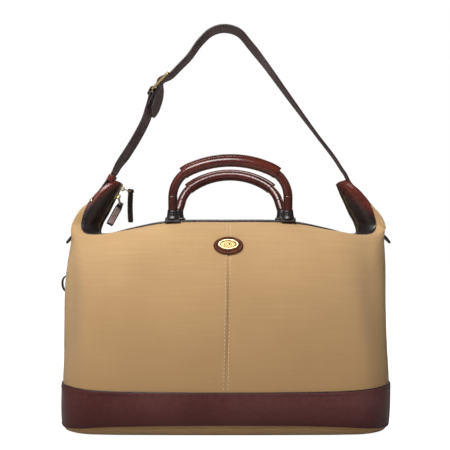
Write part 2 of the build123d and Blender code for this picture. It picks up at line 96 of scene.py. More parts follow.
# pitch, length and radius of each kind of stitch
SEAM_THREAD = (6.0, 3.9, 0.42)
TRIM_THREAD = (4.2, 2.8, 0.3)
BAND_THREAD = (4.2, 2.8, 0.32)
FIN_THREAD = (4.0, 2.7, 0.3)
BADGE_THREAD = (3.2, 1.9, 0.42)
STRAP_THREAD = (3.6, 2.6, 0.16)
PULL_THREAD = (3.6, 2.3, 0.3)

# hollows and swells of the canvas: station, width, row, height, millimetres outwards
HOLLOWS = [(1.6, 0.8, 6.3, 1.0, -2.2), (26.6, 0.9, 6.2, 1.0, -1.8), (3.3, 0.6, 6.6, 0.8, -2.5),
           (24.8, 0.6, 6.6, 0.8, -2.5), (0.2, 1.2, 4.5, 1.4, 1.6), (3.2, 0.7, 4.6, 1.2, 1.4),
           (24.6, 0.9, 4.4, 1.3, 1.6), (7.0, 2.0, 4.5, 1.2, 9.5), (21.0, 2.4, 6.6, 1.3, -4.5),
           (14.0, 1.6, 4.8, 1.4, 1.5)]

# ---- guide lines of the straps (x, z) and handles ----
LONG_STRAP = [(-117, 494), (-112, 509), (-107.5, 523), (-105, 537), (-104, 552.5), (-87.9, 560.9),
              (-74, 574.5), (-58, 591), (-40, 615.5), (-21, 632.5), (0, 637.5), (22, 631),
              (40, 611), (63, 582), (105, 524), (147, 467), (176, 429), (189, 409)]
SHORT_STRAP = [(-172, 416), (-160, 433), (-142, 462), (-127, 492), (-120, 518), (-117.5, 534)]
ANCHOR = [(-261, 291), (-253, 300), (-243, 311), (-238.5, 336), (-222, 358.5), (-207, 374),
          (-194, 388), (-186.5, 402)]
ANCHOR_OUT = [0, 0, 0, 0, 0, 1.5, 3.2, 0.5]      # how far the left anchor stands off the ear
STRAP_HALF = 13.5
TAPER = 10               # points over which a strap end rounds off

HANDLE_X, HANDLE_Y, HANDLE_Z = 8.5, 30.0, 339.5
HANDLE_LEG = 24.0
ROLL_R, CORE_R, GRIP_R, FOOT_WRAP_R, LEG_WRAP_R = 7.2, 4.4, 8.5, 7.6, 7.35
PATCH_Z = 328.8          # bottom of the wrap round a handle foot
FOOT_R = 8.0
# half width, inward lean of a leg, shoulder radius, its turn, where the grip starts, forward lean
HANDLES = {"front_handle": (91.0, 0.0, 48.0, 66.0, 51.0, 8.0),
           "back_handle": (86.0, 14.0, 50.0, 52.0, 44.0, -28.0)}


# ---- curves and grids ----
def smooth(points, at, closed=False):
    """Centripetal curves through points (n, ..., 3), read at positions counted in points."""
    p = np.asarray(points, float)
    at = np.asarray(at, float)
    n = len(p)
    if closed:
        i = np.floor(at).astype(int)
        four = [p[(i + k) % n] for k in (-1, 0, 1, 2)]
    else:
        i = np.clip(np.floor(at).astype(int), 0, n - 2)
        long = np.concatenate([[2 * p[0] - p[1]], p, [2 * p[-1] - p[-2]]])
        four = [long[i + k] for k in (0, 1, 2, 3)]
    t = (at - i).reshape((-1,) + (1,) * (p.ndim - 1))
    knots = [np.zeros_like(four[0][..., :1])]
    for a, b in zip(four, four[1:]):
        gap = np.maximum(np.linalg.norm(b - a, axis=-1, keepdims=True), 1e-6)
        knots.append(knots[-1] + np.sqrt(gap))
    k0, k1, k2, k3 = knots
    x = k1 + (k2 - k1) * t

    def blend(a, b, ka, kb):
        return a * (kb - x) / (kb - ka) + b * (x - ka) / (kb - ka)

    a = blend(four[0], four[1], k0, k1)
    b = blend(four[1], four[2], k1, k2)
    c = blend(four[2], four[3], k2, k3)
    return blend(blend(a, b, k0, k2), blend(b, c, k1, k3), k1, k2)


def lean(p):
    """The soft body's lean to +X, which grows with height."""
    p = np.array(p, float)
    p[..., 0] += LEAN * p[..., 2] / RIDGE_Z
    return p


def mirror(points, sx, sy):
    return np.asarray(points, float) * (sx, sy, 1)


def unit(vectors):
    vectors = np.asarray(vectors, float)
    return vectors / np.linalg.norm(vectors, axis=-1, keepdims=True)


def distances(path):
    """How far along a path each of its points is."""
    return np.concatenate([[0], np.cumsum(np.linalg.norm(np.diff(path, axis=0), axis=1))])


def turned(across, out, angle):
    """The two directions of a section after it turns round its path."""
    c, s = np.cos(angle)[:, None], np.sin(angle)[:, None]
    return across * c + out * s, out * c - across * s


RING = np.array([mirror(s, 1, 1) for s in WALL]
                + [mirror(s, 1, -1) for s in WALL[-2::-1]]
                + [mirror(s, -1, -1) for s in WALL[1:]]
                + [mirror(s, -1, 1) for s in WALL[-2:0:-1]])


def bulge(value, centre, width):
    """A bell shape that is 1 at its centre."""
    return np.exp(-((value - centre) / width) ** 2)


def sag(u, v):
    """Soft hollows and swells of the canvas, in millimetres outwards."""
    side = u[:, None] % len(RING)
    row = v[None, :]
    upper = bulge(row, 5.2, 1.6)
    d = 1.7 * np.sin(side * 2.1 + 0.6 * row) * upper
    d += 1.1 * np.sin(side * 3.7 - 1.3 * row + 1.0) * bulge(row, 4.6, 1.4)
    for centre, width, row_at, row_w, amount in HOLLOWS:
        gap = np.minimum(abs(side - centre), len(RING) - abs(side - centre))
        d = d + amount * np.exp(-(gap / width) ** 2) * bulge(row, row_at, row_w)
    for seam in (FRONT_SEAM, BACK_SEAM):
        gap = np.minimum(abs(side - seam), len(RING) - abs(side - seam))
        d = d - 0.9 * np.exp(-(gap / 0.014) ** 2)
    for seam in CORNER_SEAMS:
        d = d - 0.8 * np.exp(-((side - seam) / 0.03) ** 2)
    return d * np.clip((row - 3.0) / 0.8, 0, 1) * np.clip((8 - row) / 0.6, 0.0, 1)


def normals_of(grid, closed=False):
    """Outward direction at each point of a grid."""
    if closed:
        around = np.concatenate([grid[-1:], grid, grid[:1]])
        du = (around[2:] - around[:-2])
    else:
        du = np.gradient(grid, axis=0)
    dv = np.gradient(grid, axis=1)
    n = np.cross(dv, du)
    return n / np.maximum(np.linalg.norm(n, axis=-1, keepdims=True), 1e-9)


def wall_grid(us, vs, lift=0.0, closed=False, soft=True):
    """Points and normals of the wall at stations us and rows vs, lifted off it by a distance."""
    columns = smooth(RING, us, closed=True)
    grid = lean(smooth(columns.transpose(1, 0, 2), vs).transpose(1, 0, 2))
    normal = normals_of(grid, closed)
    if soft:
        grid = grid + normal * sag(us, vs)[..., None]
        normal = normals_of(grid, closed)
    return grid + normal * lift, normal


def ear_share(u):
    """How far along the ear a place is: 0 on top of the bag, 1 up the ear."""
    return np.clip((abs(u) - 3.6) / 1.4, 0, 1) * np.clip((9.3 - abs(u)) / 1.5, 0, 1)


def facing_grid(us, vs, side):
    """Front (side -1) or back (side 1) facing: us from the right ear tip to the left one."""
    outer = [s[RIM] for s in WALL[:-1]] + EAR_EDGE
    inner = [(x, -ZIP_HALF, z) for x, _, z in ZIP_LINE]
    rows = []
    for line in (outer, FACING_MIDDLE, inner):
        line = np.array(line, float)
        whole = np.concatenate([mirror(line[:0:-1], -1, 1), line])
        rows.append(smooth(whole, us + EAR_TIP))
    grid = lean(smooth(np.array(rows), vs).transpose(1, 0, 2))
    grid[..., 1] = np.minimum(grid[..., 1], -0.4)
    across = np.clip(vs, 0, 1)[None, :]
    turn = side * ZIP_TURN * ear_share(us)[:, None] * across
    swell = SWELL * (bulge(abs(us), 5.6, 1.5) * (abs(us) > 3))[:, None] * bulge(vs, 1.45, 0.55)[None, :]
    grid[..., 0] += np.sign(us)[:, None] * (turn + (swell if side > 0 else 0))
    normal = normals_of(grid)
    if side > 0:
        grid = grid * (1, -1, 1)
        normal = normal * (1, -1, 1)
    return grid, normal


# ---- mesh building ----
def add_piece(name, verts, faces, mat, body, uvs=None, flat=False):
    """A mesh in millimetres that rides on a body, or on none."""
    mesh = bpy.data.meshes.new(name)
    mesh.from_pydata([tuple(p) for p in np.asarray(verts) * MM], [], faces)
    mesh.update()
    if uvs is not None:
        layer = mesh.uv_layers.new(name="cloth")
        index = np.empty(len(mesh.loops), int)
        mesh.loops.foreach_get("vertex_index", index)
        layer.data.foreach_set("uv", np.asarray(uvs, float)[index].ravel() * MM)
    if not flat:
        mesh.polygons.foreach_set("use_smooth", [True] * len(mesh.polygons))
    mesh.materials.append(mat)
    piece = bpy.data.objects.new(name, mesh)
    bpy.context.scene.collection.objects.link(piece)
    if body:
        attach(piece, body)
    return piece


def soften(piece, width=0.4, segments=2):
    """Round the sharp edges of a piece."""
    mod = piece.modifiers.new("edges", "BEVEL")
    mod.width = width * MM
    mod.segments = segments
    mod.limit_method = "ANGLE"
    mod.angle_limit = math.radians(EDGE_ANGLE)
    return piece


def grid_quads(nu, nv, start=0, closed=False, flip=False):
    """Faces of a grid of points, which may close on itself."""
    faces = []
    for i in range(nu if closed else nu - 1):
        k = (i + 1) % nu
        for j in range(nv - 1):
            quad = (start + i * nv + j, start + k * nv + j, start + k * nv + j + 1, start + i * nv + j + 1)
            faces.append(quad[::-1] if flip else quad)
    return faces


def ring_quads(rings, around, start=0, closed=False):
    """Faces between rings of points. The first and last ring are capped unless they join."""
    faces = []
    for i in range(rings if closed else rings - 1):
        k = (i + 1) % rings
        for j in range(around):
            l = (j + 1) % around
            corners = ((i, j), (i, l), (k, l), (k, j))
            faces.append(tuple(start + ring * around + place for ring, place in corners))
    if not closed:
        faces.append(tuple(start + j for j in range(around))[::-1])
        faces.append(tuple(start + (rings - 1) * around + j for j in range(around)))
    return faces


def slab(name, grid, normal, low, high, mat, body, closed=False, flip=False):
    """Closed sheet between two distances from a grid."""
    nu, nv = grid.shape[:2]
    outer = grid + normal * high
    inner = grid + normal * low
    verts = np.concatenate([outer.reshape(-1, 3), inner.reshape(-1, 3)])
    count = nu * nv
    faces = grid_quads(nu, nv, 0, closed, not flip) + grid_quads(nu, nv, count, closed, flip)
    rims = [[i * nv for i in range(nu)], [i * nv + nv - 1 for i in range(nu)][::-1]]
    for number, rim in enumerate(rims):
        loop = rim + rim[:1] if closed else rim
        for a, b in zip(loop, loop[1:]):
            if closed and number and {a, b} == {rim[0], rim[-1]}:
                a, b = rim[-1], rim[0]
            quad = (a, b, b + count, a + count)
            faces.append(quad if not flip else quad[::-1])
    if not closed:
        ends = [list(range(nv))[::-1], [(nu - 1) * nv + j for j in range(nv)]]
        for end in ends:
            for a, b in zip(end, end[1:]):
                quad = (a, b, b + count, a + count)
                faces.append(quad if not flip else quad[::-1])
    uv = np.meshgrid(distances(grid[:, nv // 2]), distances(grid[nu // 2]), indexing="ij")
    uv = np.stack(uv, -1).reshape(-1, 2)
    return add_piece(name, verts, faces, mat, body, np.concatenate([uv, uv]))


def sweep(name, path, profile, mat, body, side=None, twist=None, scale=None, closed=False,
          inner_mat=None, widths=None):
    """Run a closed profile (across, out) along a path. side gives the across direction."""
    path = np.asarray(path, float)
    n = len(path)
    if closed:
        tangent = np.roll(path, -1, 0) - np.roll(path, 1, 0)
    else:
        tangent = np.gradient(path, axis=0)
    tangent = unit(tangent)
    side = np.broadcast_to(np.asarray((0, 1, 0) if side is None else side, float), path.shape)
    out = unit(np.cross(side, tangent))
    across, out = turned(np.cross(tangent, out), out, np.zeros(n) if twist is None else twist)
    size = np.ones(n) if scale is None else np.asarray(scale, float)
    width = size if widths is None else np.asarray(widths, float)
    profile = np.asarray(profile, float)
    m = len(profile)
    verts = (path[:, None] + across[:, None] * (profile[None, :, :1] * width[:, None, None])
             + out[:, None] * (profile[None, :, 1:] * size[:, None, None]))
    faces = ring_quads(n, m, closed=closed)
    uv = np.stack(np.meshgrid(distances(path), distances(profile), indexing="ij"), -1).reshape(-1, 2)
    piece = add_piece(name, verts.reshape(-1, 3), faces, mat, body, uv)
    if inner_mat:
        piece.data.materials.append(inner_mat)
        top = profile[:, 1].max() * 0.8
        inside = [profile[j, 1] > top and profile[(j + 1) % m, 1] > top for j in range(m)]
        for number, polygon in enumerate(piece.data.polygons):
            polygon.material_index = 1 if number < len(faces) - 2 and inside[number % m] else 0
    return piece


def around(count):
    """Angles once round, without the end."""
    return [2 * math.pi * k / count for k in range(count)]


def circle(radius, count=20):
    return [(radius * math.cos(a), radius * math.sin(a)) for a in around(count)]


def ellipse(centre, across, up, wide, tall, angles):
    return [centre + across * wide * math.cos(a) + up * tall * math.sin(a) for a in angles]


def strip_profile(half, thick, corner=0.7, bow=0.0):
    """Rounded flat section of a strap, bowed slightly outwards."""
    points = []
    for sx, sy, start in ((1, -1, -90), (1, 1, 0), (-1, 1, 90), (-1, -1, 180)):
        for k in range(4):
            a = math.radians(start + 30 * k)
            points.append((sx * (half - corner) + corner * math.cos(a),
                           sy * (thick / 2 - corner) + corner * math.sin(a)))
        if sx == 1 and sy == 1 or sx == -1 and sy == -1:
            for k in range(1, 6):
                x = (half - corner) * (1 - k / 3) * sx
                points.append((x, sy * thick / 2 + sy * bow * (1 - (x / half) ** 2) * (1 if sy > 0 else 0)))
    return points


def stitches(name, path, normal, pitch, length, radius, mat, body, slot):
    """Row of thread stitches that lie along a path."""
    path = np.asarray(path, float)
    normal = np.broadcast_to(np.asarray(normal, float), path.shape)
    far = distances(path)
    starts = np.arange(pitch / 2, far[-1] - length, pitch)
    verts, faces = [], []
    rings, corners = 5, 6
    for start in starts:
        at = start + length * np.linspace(0, 1, rings)
        centre = np.stack([np.interp(at, far, path[:, k]) for k in range(3)], -1)
        up = np.stack([np.interp(at[2], far, normal[:, k]) for k in range(3)], -1)
        across = np.cross(unit(centre[-1] - centre[0]), up)
        dip = radius * np.array([-0.9, 0.35, 0.6, 0.35, -0.9])
        first = len(verts)
        for i in range(rings):
            size = radius * (0.75 if i in (0, rings - 1) else 1.0)
            for a in around(corners):
                verts.append(centre[i] + up * dip[i] + across * size * math.cos(a)
                             + up * size * math.sin(a))
        faces += ring_quads(rings, corners, first)
    return add_piece(name, verts, faces, mat, body)


def lathe(name, profile, seat, axis, mat, body, count=28, oval=(1, 1)):
    """Turned piece: profile of (radius, height) round an axis through a seat."""
    axis = unit(axis)
    x = np.array((1.0, 0, 0))
    x = unit(x - axis * x.dot(axis))
    y = np.cross(axis, x)
    verts = []
    for radius, height in profile:
        for a in around(count):
            verts.append(np.asarray(seat) + x * radius * oval[0] * math.cos(a)
                         + y * radius * oval[1] * math.sin(a) + axis * height)
    return add_piece(name, verts, ring_quads(len(profile), count), mat, body)


# ---- materials ----
def shader(name, roughness, metallic=0.0, **sockets):
    """A node material, its tree and its surface node."""
    mat = bpy.data.materials.new(name)
    mat.use_nodes = True
    tree = mat.node_tree
    bsdf = tree.nodes["Principled BSDF"]
    bsdf.inputs["Roughness"].default_value = roughness
    bsdf.inputs["Metallic"].default_value = metallic
    for socket, value in sockets.items():
        bsdf.inputs[socket.replace("_", " ")].default_value = value
    return mat, tree, bsdf


def coordinates(tree, source, scale):
    coord = tree.nodes.new("ShaderNodeTexCoord")
    mapping = tree.nodes.new("ShaderNodeMapping")
    mapping.inputs["Scale"].default_value = scale
    tree.links.new(coord.outputs[source], mapping.inputs["Vector"])
    return mapping.outputs["Vector"]


def noise(tree, vector, scale, detail=3.0, roughness=0.55):
    node = tree.nodes.new("ShaderNodeTexNoise")
    node.inputs["Scale"].default_value = scale
    node.inputs["Detail"].default_value = detail
    node.inputs["Roughness"].default_value = roughness
    tree.links.new(vector, node.inputs["Vector"])
    return node.outputs["Fac"]


def ramp(tree, factor, stops):
    """A colour for a value, from stops of (position, colour)."""
    node = tree.nodes.new("ShaderNodeValToRGB")
    while len(node.color_ramp.elements) < len(stops):
        node.color_ramp.elements.new(0.5)
    for element, (position, colour) in zip(node.color_ramp.elements, stops):
        element.position = position
        element.color = (*colour, 1)
    tree.links.new(factor, node.inputs["Fac"])
    return node.outputs["Color"]


def spread(tree, factor, low, high, out_low, out_high):
    """A value stretched from one range to another."""
    node = tree.nodes.new("ShaderNodeMapRange")
    for key, value in zip(("From Min", "From Max", "To Min", "To Max"), (low, high, out_low, out_high)):
        node.inputs[key].default_value = value
    tree.links.new(factor, node.inputs["Value"])
    return node.outputs["Result"]


def combine(tree, operation, a, b):
    """Arithmetic on two values, each a number or a socket."""
    node = tree.nodes.new("ShaderNodeMath")
    node.operation = operation
    for socket, value in zip(node.inputs, (a, b)):
        if isinstance(value, (int, float)):
            socket.default_value = value
        else:
            tree.links.new(value, socket)
    return node.outputs[0]


def weigh(tree, a, share_a, b, share_b):
    """The two values added, each times its share."""
    return combine(tree, "ADD", combine(tree, "MULTIPLY", a, share_a), combine(tree, "MULTIPLY", b, share_b))


def bump(tree, bsdf, height, distance, strength=1.0):
    node = tree.nodes.new("ShaderNodeBump")
    node.inputs["Distance"].default_value = distance
    node.inputs["Strength"].default_value = strength
    tree.links.new(height, node.inputs["Height"])
    tree.links.new(node.outputs["Normal"], bsdf.inputs["Normal"])


def threads(tree, vector, direction, scale):
    """Parallel threads for a weave."""
    node = tree.nodes.new("ShaderNodeTexWave")
    node.wave_type = "BANDS"
    node.bands_direction = direction
    node.inputs["Scale"].default_value = scale
    node.inputs["Distortion"].default_value = 0.6
    node.inputs["Detail"].default_value = 1.0
    node.inputs["Detail Scale"].default_value = 0.5
    tree.links.new(vector, node.inputs["Vector"])
    return node.outputs["Fac"]


def canvas_material():
    """Ribbed tan cloth, with painted shade that darkens it towards the base."""
    mat, tree, bsdf = shader("canvas", 0.86, Sheen_Weight=0.15, Sheen_Roughness=0.6)
    cloth = coordinates(tree, "UV", (1, 1, 1))
    slubs = noise(tree, coordinates(tree, "UV", (9, 260, 1)), 1.0, 3.0, 0.6)
    warp = noise(tree, coordinates(tree, "UV", (300, 12, 1)), 1.0, 3.0, 0.6)
    broad = noise(tree, coordinates(tree, "Object", (1, 1, 1)), 9.0, 3.0)
    tone = weigh(tree, slubs, 0.35, warp, 0.12)
    tone = combine(tree, "ADD", tone, combine(tree, "MULTIPLY", broad, 0.53))
    colour = ramp(tree, tone, [(0.30, (0.50, 0.300, 0.130)), (0.5, (0.56, 0.345, 0.155)),
                               (0.70, (0.62, 0.395, 0.185))])
    # painted shade: a darker tan mixed in fully at z = 0 and fading out by z = 0.30 m, standing in for the
    # light falling from above
    colour = shaded_below(tree, colour, (0.45, 0.255, 0.100), 0.0, 0.30)
    tree.links.new(colour, bsdf.inputs["Base Color"])
    weave = combine(tree, "MULTIPLY", threads(tree, cloth, "X", 320), threads(tree, cloth, "Y", 320))
    bump(tree, bsdf, weigh(tree, weave, 0.5, slubs, 0.35), 0.0004, 0.6)
    return mat


def shaded_below(tree, colour, below, low, high, slant=0.0):
    """Mix towards another colour below a height, which drops towards the sides by a slant: painted shade on
    the canvas, band and front facing, and a lighter grey on the back facing.
    """
    place = tree.nodes.new("ShaderNodeSeparateXYZ")
    tree.links.new(coordinates(tree, "Object", (1, 1, 1)), place.inputs["Vector"])
    side = combine(tree, "SUBTRACT", combine(tree, "ABSOLUTE", place.outputs["X"], 0), 0.2)
    side = combine(tree, "MULTIPLY", side, slant)
    level = combine(tree, "ADD", place.outputs["Z"], side)
    mix = tree.nodes.new("ShaderNodeMix")
    mix.data_type = "RGBA"
    tree.links.new(spread(tree, level, low, high, 1.0, 0.0), mix.inputs["Factor"])
    tree.links.new(colour, mix.inputs["A"])
    mix.inputs["B"].default_value = (*below, 1)
    return mix.outputs["Result"]


def leather_material(name, dark, mid, light, roughness, grain_depth=0.0002, coat=0.0, mottle=22.0,
                     below=None, specular=0.5):
    """Pebbled leather in three tones, which may take another colour below a height: painted shade on the
    band and front facing, and a lighter grey on the back facing.
    """
    mat, tree, bsdf = shader(name, roughness, Coat_Weight=coat, Coat_Roughness=0.18,
                             Specular_IOR_Level=specular)
    place = coordinates(tree, "Object", (1, 1, 1))
    tone = weigh(tree, noise(tree, place, mottle, 5.0, 0.62), 0.75, noise(tree, place, 160.0, 3.0), 0.25)
    colour = ramp(tree, tone, [(0.38, dark), (0.5, mid), (0.66, light)])
    if below:
        colour = shaded_below(tree, colour, *below)
    tree.links.new(colour, bsdf.inputs["Base Color"])
    cells = tree.nodes.new("ShaderNodeTexVoronoi")
    cells.feature = "DISTANCE_TO_EDGE"
    cells.inputs["Scale"].default_value = 650.0
    tree.links.new(place, cells.inputs["Vector"])
    pebble = spread(tree, cells.outputs["Distance"], 0.0, 0.25, 0.0, 1.0)
    creases = noise(tree, place, 90.0, 4.0, 0.6)
    height = combine(tree, "ADD", combine(tree, "MULTIPLY", pebble, 0.5), creases)
    bump(tree, bsdf, height, grain_depth, 0.8)
    wear = spread(tree, noise(tree, place, 55.0, 4.0), 0.35, 0.65, roughness - 0.06, roughness + 0.1)
    tree.links.new(wear, bsdf.inputs["Roughness"])
    return mat


def metal_material(name, light, dark, roughness):
    mat, tree, bsdf = shader(name, roughness, 1.0)
    place = coordinates(tree, "Object", (1, 1, 1))
    tone = noise(tree, place, 130.0, 4.0)
    tree.links.new(ramp(tree, tone, [(0.35, dark), (0.62, light)]), bsdf.inputs["Base Color"])
    tree.links.new(spread(tree, tone, 0.3, 0.7, roughness + 0.12, roughness), bsdf.inputs["Roughness"])
    bump(tree, bsdf, noise(tree, place, 420.0, 2.0), 0.00006, 0.5)
    return mat


def cloth_material(name, dark, light):
    mat, tree, bsdf = shader(name, 0.85)
    place = coordinates(tree, "Object", (1, 1, 1))
    tone = noise(tree, place, 420.0, 2.0)
    tree.links.new(ramp(tree, tone, [(0.35, dark), (0.65, light)]), bsdf.inputs["Base Color"])
    bump(tree, bsdf, tone, 0.0002, 0.6)
    return mat


canvas = canvas_material()
# band: the darker red mixed in below z 0.012–0.055 m is painted shade on the lower part of the band
band_leather = leather_material("band_leather", (0.080, 0.015, 0.013), (0.110, 0.028, 0.025),
                                (0.14, 0.045, 0.042), 0.38, grain_depth=0.0001, mottle=7.0, specular=0.35,
                                below=((0.062, 0.010, 0.008), 0.012, 0.055))
# front facing: the near-black mixed in below z 0.357–0.374 m, a height that drops towards the sides, is
# painted shade; the red-brown leather shows only on the upper outer parts of the ears
ear_leather = leather_material("ear_leather", (0.07, 0.008, 0.004), (0.13, 0.017, 0.007),
                               (0.22, 0.033, 0.013), 0.22, coat=0.35,
                               below=((0.016, 0.010, 0.010), 0.357, 0.374, 0.8))
back_ear_leather = leather_material("back_ear_leather", (0.07, 0.008, 0.004), (0.13, 0.017, 0.007),
                                    (0.20, 0.030, 0.012), 0.22, coat=0.35,
                                    below=((0.13, 0.125, 0.13), 0.340, 0.372))
handle_leather = leather_material("handle_leather", (0.045, 0.007, 0.004), (0.08, 0.012, 0.007),
                                  (0.13, 0.022, 0.012), 0.13, grain_depth=0.0001, coat=0.4, mottle=14.0)
keeper_leather = leather_material("keeper_leather", (0.05, 0.008, 0.005), (0.09, 0.014, 0.008),
                                  (0.14, 0.025, 0.014), 0.25, coat=0.3)
strap_leather = leather_material("strap_leather", (0.020, 0.010, 0.010), (0.034, 0.018, 0.018),
                                 (0.055, 0.032, 0.032), 0.4, grain_depth=0.00005)
strap_inner = leather_material("strap_inner", (0.11, 0.068, 0.066), (0.16, 0.108, 0.106),
                               (0.21, 0.15, 0.148), 0.5, grain_depth=0.00003)
dark_leather = leather_material("dark_leather", (0.010, 0.006, 0.006), (0.018, 0.011, 0.011),
                                (0.032, 0.02, 0.02), 0.3, coat=0.2)
badge_leather = leather_material("badge_leather", (0.055, 0.011, 0.004), (0.10, 0.024, 0.009),
                                 (0.16, 0.045, 0.018), 0.6, mottle=90.0, specular=0.1)
pull_face = leather_material("pull_face", (0.12, 0.07, 0.07), (0.30, 0.20, 0.20), (0.46, 0.35, 0.34), 0.4)
brass = metal_material("brass", (0.98, 0.76, 0.40), (0.78, 0.55, 0.24), 0.22)
zip_brass = metal_material("zip_brass", (0.78, 0.60, 0.30), (0.40, 0.28, 0.12), 0.3)
gold = metal_material("gold", (0.98, 0.78, 0.44), (0.80, 0.58, 0.28), 0.2)
gold_floor = metal_material("gold_floor", (0.62, 0.46, 0.20), (0.46, 0.32, 0.12), 0.42)
light_thread = cloth_material("light_thread", (0.72, 0.55, 0.36), (0.92, 0.78, 0.58))
badge_thread = cloth_material("badge_thread", (0.30, 0.16, 0.10), (0.45, 0.27, 0.18))
dark_thread = cloth_material("dark_thread", (0.03, 0.012, 0.01), (0.07, 0.03, 0.025))
strap_thread = cloth_material("strap_thread", (0.045, 0.028, 0.028), (0.07, 0.045, 0.045))
zip_cloth = cloth_material("zip_cloth", (0.02, 0.017, 0.017), (0.05, 0.043, 0.043))
lining_cloth = cloth_material("lining_cloth", (0.13, 0.11, 0.10), (0.20, 0.18, 0.165))
rope = cloth_material("rope", (0.40, 0.34, 0.24), (0.62, 0.54, 0.4))
board_material = cloth_material("board", (0.05, 0.04, 0.035), (0.09, 0.08, 0.07))


# ---- body of the bag ----
def canvas_body():
    """One sewn shell for all canvas panels, its lining, and the stitches beside both seams."""
    n = len(RING)
    us = np.arange(0, n, 1 / 14)
    beside = np.array([-0.03, -0.018, -0.009, 0.0, 0.009, 0.018, 0.03])
    seam_us = np.concatenate([beside + seam for seam in (FRONT_SEAM, BACK_SEAM)])
    us = np.unique(np.round(np.concatenate([us, seam_us]) % n, 5))
    vs = np.concatenate([np.linspace(0, 3, 25), np.linspace(3, 8, 91)[1:]])
    grid, normal = wall_grid(us, vs, closed=True)
    shell = slab("canvas_body", grid, normal, -CANVAS, 0.0, canvas, "bag", closed=True)
    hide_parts("canvas_front_left", "canvas_front_right", "canvas_back_left",
                "canvas_back_right", "gusset_left", "gusset_right")
    grid, normal = wall_grid(np.arange(0, n, 1 / 8), np.linspace(0.05, 6.2, 60), closed=True)
    inside = slab("lining_bag", grid, normal, -5.2, -4.4, lining_cloth, "bag", closed=True)
    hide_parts("lining")
    for number, centre in enumerate((FRONT_SEAM, BACK_SEAM)):
        for row, offset in enumerate((-SEAM_GAP, SEAM_GAP)):
            rows = np.linspace(3.02, 7.9, 200)
            u = centre + offset / SEAM_STEP
            line, out = wall_grid(np.array([u - 0.01, u, u + 0.01]), rows, 0.35)
            stitches(f"seam_stitches_{number}_{row}", line[1], out[1], *SEAM_THREAD, light_thread,
                     "bag", "canvas")


def leather_band():
    """The band round the base, its stitch rows and its painted top edge."""
    n = len(RING)
    us = np.arange(0, n, 1 / 12)
    vs = np.linspace(BAND_LOW, BAND_HIGH, 15)
    grid, normal = wall_grid(us, vs, closed=True, soft=False)
    wave = 0.35 * np.sin(us * 2.3)[:, None] * np.ones(len(vs))
    grid = grid + normal * wave[..., None]
    band = slab("leather_band", grid, normal, 0.25, BAND, band_leather, "bag", closed=True)
    soften(band, 0.6, 3)
    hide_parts("band_front", "band_back", "band_left", "band_right")
    once_round = np.arange(0, n + 0.01, 1 / 20)
    for row, v in enumerate((BAND_LOW + 0.1, BAND_HIGH - 0.07)):
        line, out = wall_grid(once_round, np.array([v - 0.01, v, v + 0.01]), BAND + 0.05, soft=False)
        stitches(f"band_stitches_{row}", line[:, 1], out[:, 1], *BAND_THREAD, dark_thread, "bag",
                 "band_leather")
    line, out = wall_grid(us, np.array([2.98, 3.0, 3.02]), 1.0, closed=True, soft=False)
    sweep("band_top_edge", line[:, 1] + (0, 0, 0.5), circle(1.0, 8), dark_leather, "bag",
          side=(0, 0, 1), closed=True)


def facings():
    """Front and back facing, with the welt where each meets the canvas."""
    us = np.concatenate([np.linspace(-EAR_TIP, -3, 70), np.linspace(-3, 3, 60)[1:-1],
                         np.linspace(3, EAR_TIP, 70)])
    vs = np.linspace(0.0, 2, 24)
    for side, node in ((-1, "front"), (1, "back")):
        grid, normal = facing_grid(us, vs, side)
        leather = ear_leather if side < 0 else back_ear_leather
        piece = slab(f"facing_{node}", grid, normal, 0.0, FACING, leather, "bag",
                     flip=side > 0)
        soften(piece)
        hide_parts(f"top_facing_{node}")
        edge_us = np.linspace(-2.7, 2.7, 140)
        edge, out = facing_grid(edge_us, np.array([0.0, 0.02, 0.04]), side)
        sweep(f"facing_welt_{node}", edge[:, 0] + out[:, 0] * 0.9, circle(1.2, 10), dark_leather,
              "bag", side=out[:, 0])
        for row, v in enumerate((0.16, 1.86)):
            line, out = facing_grid(np.linspace(-8.6, 8.6, 300), np.array([v - 0.02, v, v + 0.02]), side)
            stitches(f"facing_stitches_{node}_{row}", line[:, 1] + out[:, 1] * (FACING + 0.05), out[:, 1],
                     *TRIM_THREAD, dark_thread, "bag", "trim_leather")


def zip_path(count):
    left = lean(ZIP_LINE)
    right = lean(mirror(ZIP_LINE, -1, 1))
    points = np.concatenate([left[::-1], right[1:]])
    return smooth(points, np.linspace(0, len(points) - 1, count))


def zip_fastener():
    """Tapes and teeth along the zip, which turns with the ears' leaves."""
    path = zip_path(420)
    tangent = unit(np.gradient(path, axis=0))
    out = np.cross((0, 1, 0), tangent)
    u = np.linspace(EAR_TIP, -EAR_TIP, len(path))
    turn = np.zeros_like(path)
    turn[:, 0] = ZIP_TURN * ear_share(u) * np.sign(u) / ZIP_HALF
    far = distances(path)
    for side, node in ((-1, "front"), (1, "back")):
        across = turn * side + (0, side, 0)
        tape = sweep(f"tape_{node}", path - out * 1.2 + across * 3.4,
                     [(-1.6, -0.35), (1.6, -0.35), (1.6, 0.35), (-1.6, 0.35)], zip_cloth, "bag")
        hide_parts(f"zip_tape_{node}")
        verts, faces = [], []
        pitch = 2.3
        box = [(-0.68, -1.0), (0.68, -1.0), (0.68, 1.0), (-0.68, 1.0)]
        for start in np.arange(1.5 + (pitch / 2 if side > 0 else 0), far[-1] - 1.5, pitch):
            at, t, o, y = [np.array([np.interp(start, far, line[:, k]) for k in range(3)])
                           for line in (path, tangent, out, across)]
            first = len(verts)
            for reach, size in ((0.75, 0.8), (1.2, 1.0), (2.6, 1.0)):
                for p, q in box:
                    verts.append(at + t * p * size + o * q * size + y * reach)
            tooth = ring_quads(3, 4, first)
            faces += tooth if side > 0 else [face[::-1] for face in tooth]
        teeth = add_piece(f"teeth_{node}", verts, faces, zip_brass, "bag", flat=True)
        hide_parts(f"zip_chain_{node}")


